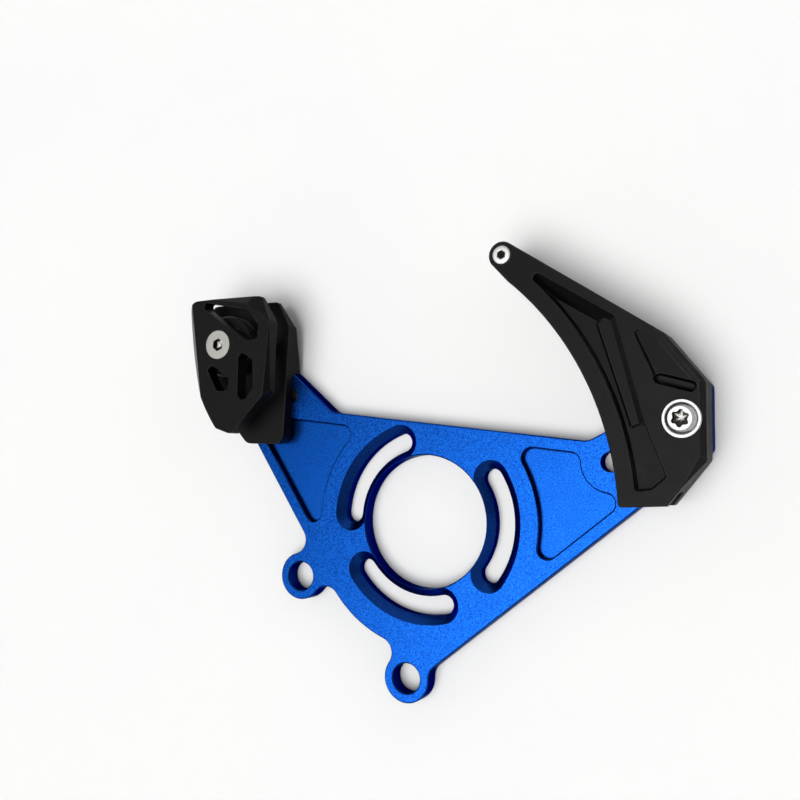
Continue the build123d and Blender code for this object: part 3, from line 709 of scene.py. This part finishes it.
def obround(width: float, flat: float, facing: float) -> Outline:
    """Outline of a bar with round ends.

    Args:
        width: Width of the bar.
        flat: Length of its straight sides.
        facing: Angle that its length lies along.

    Returns:
        Its radius as a function of the angle in turns.
    """

    def radius(turn: float) -> float:
        """Radius of the bar at an angle.

        Args:
            turn: The angle, in turns.

        Returns:
            The radius there.
        """
        along = abs(math.cos(math.tau * turn - facing))
        across = abs(math.sin(math.tau * turn - facing))
        if along * width <= across * flat:
            return width / 2 / across
        return flat / 2 * along + math.sqrt((width / 2) ** 2 - (flat / 2 * across) ** 2)

    return radius


def rounded(start: Pair, end: Pair, radius: float, steps: int = 8) -> Profile:
    """Points of an arc that bulges away from the axis.

    Args:
        start: Radius and depth where it starts.
        end: Radius and depth where it ends.
        radius: Radius of the arc.
        steps: Number of pieces that it is drawn in.

    Returns:
        The points, with both ends.
    """
    first, last = Vector(start), Vector(end)
    chord = last - first
    inward = Vector((chord.y, -chord.x)).normalized()
    centre = (first + last) / 2 + inward * math.sqrt(radius**2 - chord.length_squared / 4)
    sweep = (first - centre).angle_signed(last - centre)
    arms = [Matrix.Rotation(-sweep * step / steps, 2) @ (first - centre) for step in range(steps + 1)]
    return tuple((centre.x + arm.x, centre.y + arm.y) for arm in arms)


class Head(Enum):
    """Radius and depth along the screws' heads, from the shank to the top, in millimetres."""

    FLANGED_DOME = (
        (5.35, 3.1),
        (5.5, 2.95),
        (5.5, 2.25),
        (5.35, 2.1),
        (4.62, 2.1),
        *rounded((4.6, 2.08), (3.4, 0.0), 4.0),
    )
    CHEESE = ((2.85, 1.9), (2.95, 1.8), *rounded((2.95, 0.6), (2.35, 0.0), 0.6))
    COUNTERSUNK = ((2.5, 2.7), (5.12, 0.08), (5.04, 0.0))


class Turning:
    """A mesh drawn through rings about an upright axis."""

    SIDES = 96
    SHARP = math.radians(32.0)

    def __init__(self, axis: Pair) -> None:
        """Starts an empty mesh.

        Args:
            axis: Where the axis stands in plan.
        """
        self.axis = axis
        self.mesh = bmesh.new()
        self.rings: list[list[bmesh.types.BMVert]] = []

    def ring(self, radius: Outline | float, z: float) -> None:
        """Adds a ring and joins it to the one before.

        Args:
            radius: Its radius, or its outline.
            z: Its height.
        """
        points = []
        for index in range(self.SIDES):
            turn = index / self.SIDES
            reach = radius(turn) if callable(radius) else radius
            x = self.axis[0] + reach * math.cos(math.tau * turn)
            y = self.axis[1] + reach * math.sin(math.tau * turn)
            points.append(self.mesh.verts.new((x, y, z)))
        self.rings.append(points)
        if len(self.rings) > 1:
            self.join(self.rings[-2], points)

    def join(self, lower: list[bmesh.types.BMVert], upper: list[bmesh.types.BMVert]) -> None:
        """Fills the strip between two rings.

        Args:
            lower: One ring.
            upper: The other.
        """
        for index in range(self.SIDES):
            after = (index + 1) % self.SIDES
            self.mesh.faces.new((lower[index], lower[after], upper[after], upper[index]))

    def mark(self, first: int, index: int) -> None:
        """Gives the faces from one face on another material.

        Args:
            first: Number of the first such face.
            index: Place of the material on the piece.
        """
        self.mesh.faces.ensure_lookup_table()
        for face in self.mesh.faces[first:]:
            face.material_index = index

    def cap(self, points: list[bmesh.types.BMVert], z: float) -> None:
        """Closes a ring with a cone to a point on the axis.

        Args:
            points: The ring.
            z: Height of the point.
        """
        middle = self.mesh.verts.new((*self.axis, z))
        for index in range(self.SIDES):
            self.mesh.faces.new((points[index], points[(index + 1) % self.SIDES], middle))

    def piece(self, name: str) -> bpy.types.Object:
        """Ends the mesh.

        Args:
            name: Name of the piece.

        Returns:
            The piece, linked to the scene.
        """
        bmesh.ops.recalc_face_normals(self.mesh, faces=self.mesh.faces)
        mesh = bpy.data.meshes.new(name)
        self.mesh.to_mesh(mesh)
        self.mesh.free()
        mesh.shade_smooth()
        mesh.set_sharp_from_angle(angle=self.SHARP)
        piece = bpy.data.objects.new(name, mesh)
        bpy.context.scene.collection.objects.link(piece)
        return piece


def place(
    piece: bpy.types.Object, node: str, body: Body, materials: Sequence[bpy.types.Material], slot: Slot
) -> None:
    """Sets a made piece in the place of a CAD node.

    Args:
        piece: The piece.
        node: The node that it stands for.
        body: The body that it rides on.
        materials: Its finishes.
        slot: The record's slot for it; not used.
    """
    for material in materials:
        piece.data.materials.append(material)
    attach(piece, body.value)
    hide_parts(node)
    LOG.info("%s stands for %s", piece.name, node)


@dataclass(frozen=True)
class Screw:
    """A screw with a turned head, a socket and a rolled thread."""

    node: str
    body: Body
    size: Metric
    threaded_mm: float
    head: Head
    drive: Drive
    socket_mm: float
    socket_depth_mm: float
    socket_edge_mm: float = 0.12
    lobe_depth_mm: float = 0.56
    point_mm: float = 1.1
    steps_per_turn: int = 10

    def socket(self, grow_mm: float) -> Outline:
        """Outline of the socket.

        Args:
            grow_mm: How far outside the true outline it lies.

        Returns:
            The outline.
        """
        width = (self.socket_mm + 2 * grow_mm) * MM
        if self.drive is Drive.LOBED:
            return lobes(width, self.lobe_depth_mm * MM)
        return hexagon(width)

    def build(self, material: bpy.types.Material, inside: bpy.types.Material, slot: Slot) -> None:
        """Makes the screw and sets it in its node's place.

        Args:
            material: Its finish.
            inside: Finish of its socket, darkened with painted shade.
            slot: The record's slot for it.
        """
        low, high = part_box(self.node)
        thread = Thread.of(self.size)
        turning = Turning(axis_of(self.node))
        core = thread.diameter / 2 - thread.depth_share * thread.pitch
        rings = round(self.threaded_mm * MM / thread.pitch * self.steps_per_turn)
        for index in range(rings + 1):
            rise = index * thread.pitch / self.steps_per_turn
            turning.ring(self.shank(thread, core + rise, low.z + rise, rings - index), low.z + rise)
        neck = (thread.diameter / 2 / MM, self.head.value[0][1])
        for radius, depth in (neck, *self.head.value):
            turning.ring(radius * MM, high.z - depth * MM)
        turning.cap(turning.rings[0], low.z)
        turning.ring(self.socket(self.socket_edge_mm), high.z)
        turning.ring(self.socket(0.0), high.z - self.socket_edge_mm * MM)
        # The socket's faces take the second finish, with its painted shade.
        outside = len(turning.mesh.faces)
        turning.ring(self.socket(0.0), high.z - self.socket_depth_mm * MM)
        turning.cap(turning.rings[-1], high.z - (self.socket_depth_mm + self.point_mm) * MM)
        turning.mark(first=outside, index=1)
        place(turning.piece(self.node + "_threaded"), self.node, self.body, (material, inside), slot)

    def shank(self, thread: Thread, reach: float, z: float, left: int) -> Outline:
        """Outline of the shank at a height, with the thread running out at its top.

        Args:
            thread: The thread.
            reach: Largest radius there, where the end is chamfered.
            z: The height.
            left: Rings left to the top of the thread.

        Returns:
            The outline.
        """
        full = thread.diameter / 2
        share = min(left / self.steps_per_turn, 1.0)
        return lambda turn: min(full - (full - thread.radius(turn, z)) * share, reach)


@dataclass(frozen=True)
class Nut:
    """A nut with a tapped hole and chamfered edges."""

    node: str
    body: Body
    size: Metric
    outline: Outline
    edge_mm: float = 0.2
    clear_mm: float = 0.03
    steps_per_turn: int = 10

    def build(self, material: bpy.types.Material, slot: Slot) -> None:
        """Makes the nut and sets it in its node's place.

        Args:
            material: Its finish.
            slot: The record's slot for it.
        """
        low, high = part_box(self.node)
        thread = Thread.of(self.size)
        turning = Turning(axis_of(self.node))
        edge = self.edge_mm * MM
        turning.ring(lambda turn: self.outline(turn) - edge, low.z)
        turning.ring(self.outline, low.z + edge)
        turning.ring(self.outline, high.z - edge)
        turning.ring(lambda turn: self.outline(turn) - edge, high.z)
        rings = round((high.z - low.z) / thread.pitch * self.steps_per_turn)
        for index in range(rings + 1):
            drop = (high.z - low.z) * index / rings
            turning.ring(self.bore(thread, high.z - drop, min(drop, high.z - low.z - drop)), high.z - drop)
        turning.join(turning.rings[-1], turning.rings[0])
        place(turning.piece(self.node + "_threaded"), self.node, self.body, (material,), slot)

    def bore(self, thread: Thread, z: float, inside: float) -> Outline:
        """Outline of the tapped hole at a height.

        Args:
            thread: The thread.
            z: The height.
            inside: Distance from the nearer face.

        Returns:
            The outline, opened out at the faces.
        """
        clear = self.clear_mm * MM
        mouth = thread.diameter / 2 + clear - inside
        return lambda turn: max(thread.radius(turn, z) + clear, mouth)


@dataclass
class Backplate:
    """The anodised plate that carries both guides."""

    node: str = "backplate"
    finish: AnodisedFinish = AnodisedFinish()

    def build(self, effects: Effects) -> None:
        """Gives the plate its finish."""
        dress(self.node, self.finish.material(effects))


@dataclass
class UpperGuide:
    """The two moulded shells of the upper guide with their fasteners."""

    shells: tuple[str, ...] = ("upper_guide_outer_shell", "upper_guide_inner_shell")
    bush: str = "upper_guide_bush"
    bolt: Screw = Screw(
        node="upper_guide_bolt",
        body=Body.UPPER,
        size=Metric.M6,
        threaded_mm=11.0,
        head=Head.FLANGED_DOME,
        drive=Drive.LOBED,
        socket_mm=5.0,
        socket_depth_mm=2.3,
    )
    tip_bolt: Screw = Screw(
        node="upper_guide_tip_bolt",
        body=Body.UPPER,
        size=Metric.M3,
        threaded_mm=7.0,
        head=Head.CHEESE,
        drive=Drive.HEXAGON,
        socket_mm=2.5,
        socket_depth_mm=1.4,
    )
    slot_nut: Nut = Nut(
        node="upper_guide_slot_nut",
        body=Body.UPPER,
        size=Metric.M6,
        outline=obround(width=7.8 * MM, flat=1.2 * MM, facing=math.radians(63.5)),
    )
    tip_nut: Nut = Nut(
        node="upper_guide_tip_nut",
        body=Body.UPPER,
        size=Metric.M3,
        outline=hexagon(width=5.5 * MM),
    )
    aluminium: TurnedFinish = TurnedFinish("bush_aluminium", roughness=0.3)
    chrome: TurnedFinish = TurnedFinish("upper_bolt_chrome")
    nickel: TurnedFinish = TurnedFinish(
        "tip_bolt_nickel", colour=(0.86, 0.86, 0.85, 1.0), shade=(0.66, 0.66, 0.65, 1.0), roughness=0.36
    )
    nut_roughness: float = 0.34

    def build(self, effects: Effects, plastic: bpy.types.Material) -> None:
        """Dresses the shells and the bush, and makes the fasteners.

        Args:
            effects: The shared groups.
            plastic: Finish of the moulded shells.
        """
        for shell in self.shells:
            dress(shell, plastic)
        dress(self.bush, self.aluminium.material(effects, axis_of(self.bush)))
        for bolt, finish in ((self.bolt, self.chrome), (self.tip_bolt, self.nickel)):
            axis = axis_of(bolt.node)
            inside = finish.inside()
            bolt.build(finish.material(effects, axis), inside.material(effects, axis), Slot.BRIGHT)
        for nut in (self.slot_nut, self.tip_nut):
            steel = TurnedFinish(nut.node + "_steel", roughness=self.nut_roughness)
            nut.build(steel.material(effects, axis_of(nut.node)), Slot.PLAIN)


@dataclass
class LowerGuide:
    """The two plates of the lower guide, the roller between them and their fasteners."""

    plates: tuple[str, ...] = ("lower_guide_outer_plate", "lower_guide_inner_plate")
    roller: str = "lower_guide_roller"
    sleeve: str = "lower_guide_sleeve"
    bearing: tuple[str, ...] = (
        "bearing_inner_race",
        "bearing_outer_race",
        "bearing_balls",
        "bearing_cage",
        "bearing_front_shield",
        "bearing_rear_shield",
    )
    bolt: Screw = Screw(
        node="lower_guide_bolt",
        body=Body.LOWER,
        size=Metric.M5,
        threaded_mm=10.0,
        head=Head.COUNTERSUNK,
        drive=Drive.HEXAGON,
        socket_mm=4.0,
        socket_depth_mm=2.3,
    )
    slot_nut: Nut = Nut(
        node="lower_guide_slot_nut",
        body=Body.LOWER,
        size=Metric.M5,
        outline=obround(width=8.0 * MM, flat=1.2 * MM, facing=math.radians(176.0)),
    )
    moulding: MouldedFinish = MouldedFinish(
        "roller_moulding", colour=(0.012, 0.012, 0.013, 1.0), roughness=0.40
    )
    steel: TurnedFinish = TurnedFinish("bearing_steel", roughness=0.2)
    aluminium: TurnedFinish = TurnedFinish("sleeve_aluminium", roughness=0.3)
    satin: TurnedFinish = TurnedFinish(
        "lower_bolt_satin", colour=(0.60, 0.59, 0.56, 1.0), shade=(0.44, 0.43, 0.41, 1.0), roughness=0.40
    )

    def build(self, effects: Effects, plastic: bpy.types.Material) -> None:
        """Dresses the plates, the roller and its bearing, and makes the fasteners.

        Args:
            effects: The shared groups.
            plastic: Finish of the moulded plates.
        """
        for plate in self.plates:
            dress(plate, plastic)
        dress(self.roller, self.moulding.material(effects))
        axis = axis_of(self.roller)
        steel = self.steel.material(effects, axis)
        for piece in self.bearing:
            dress(piece, steel)
        dress(self.sleeve, self.aluminium.material(effects, axis))
        inside = self.satin.inside()
        self.bolt.build(self.satin.material(effects, axis), inside.material(effects, axis), Slot.PLAIN)
        self.slot_nut.build(steel, Slot.PLAIN)


@dataclass(frozen=True)
class Studio:
    """Floor, light and camera."""

    floor_centre: Pair = (0.0, 0.0)
    floor_flat: float = 1.6
    floor_rise: float = 1.8
    floor_steps: int = 12
    # The sheet lies just under the part's lowest faces, so that none of them coincide with it.
    floor_drop: float = 0.05 * MM
    sheet: FloorFinish = FloorFinish()
    image_px: float = 800.0
    focal_px: float = 950.0
    sensor_mm: float = 36.0
    clip: Pair = (0.01, 20.0)
    eye: Vector = Vector((0.09804, 0.09658, 0.29443))
    right: Vector = Vector((0.71077478, 0.54068696, -0.44995202))
    down: Vector = Vector((0.57782337, -0.81357956, -0.06487266))
    light: Colour = (1.0, 0.995, 0.985, 1.0)
    light_from: Vector = Vector((0.08, -0.26, 0.960))
    light_span: Pair = (0.84, 1.0)
    light_strength: Pair = (0.15, 5.10)

    def floor(self) -> None:
        """Lays the pale sheet, flat under the part and swept up all round it."""
        sweep = Turning(self.floor_centre)
        for step in range(self.floor_steps + 1):
            turn = math.pi / 2 * step / self.floor_steps
            lift = self.floor_rise * (1.0 - math.cos(turn))
            sweep.ring(self.floor_flat + self.floor_rise * math.sin(turn), lift - self.floor_drop)
        sweep.cap(sweep.rings[0], -self.floor_drop)
        sheet = sweep.piece("pale_sheet")
        sheet.data.materials.append(self.sheet.material())
        LOG.info("%s is the floor and the backdrop", sheet.name)

    def sky(self) -> None:
        """Sets a dim sky with one wide soft light overhead."""
        world = bpy.data.worlds.new("soft_sky")
        world.use_nodes = True
        bpy.context.scene.world = world
        nodes = Nodes(world.node_tree)
        toward = {0: nodes.add("TexCoord").outputs["Generated"], 1: self.light_from.normalized()}
        nearness = nodes.add("VectorMath", toward, operation="DOT_PRODUCT").outputs["Value"]
        strength = nodes.ramp(nearness, self.light_span, self.light_strength)
        glow = nodes.add("Background", {"Color": self.light, "Strength": strength})
        output = nodes.add("OutputWorld")
        nodes.put(output.inputs["Surface"], glow.outputs[0])

    def camera(self) -> None:
        """Sets the camera at the photograph's angle."""
        lens = bpy.data.cameras.new("camera")
        lens.sensor_width = self.sensor_mm
        lens.lens = self.sensor_mm * self.focal_px / self.image_px
        lens.clip_start, lens.clip_end = self.clip
        holder = bpy.data.objects.new("camera", lens)
        up = -self.down
        back = self.right.cross(up)
        turn = Matrix((self.right, up, back)).transposed()
        holder.matrix_world = Matrix.Translation(self.eye) @ turn.to_4x4()
        bpy.context.scene.collection.objects.link(holder)
        bpy.context.scene.camera = holder

    def build(self) -> None:
        """Sets the view transform, then builds the floor, the sky and the camera."""
        bpy.context.scene.view_settings.view_transform = "Standard"
        self.floor()
        self.sky()
        self.camera()


def main() -> None:
    """Builds every sub-assembly, then the stage."""
    logging.basicConfig(level=logging.INFO)
    effects = Effects(
        blast=PittedGrain().group(),
        rounding=RoundedEdges().group(),
        handling=HandlingMarks().group(),
        turning=TurnedRings().group(),
    )
    plastic = MouldedFinish("guide_moulding").material(effects)
    Backplate().build(effects)
    UpperGuide().build(effects, plastic)
    LowerGuide().build(effects, plastic)
    Studio().build()


if __name__ == "__main__":
    main()
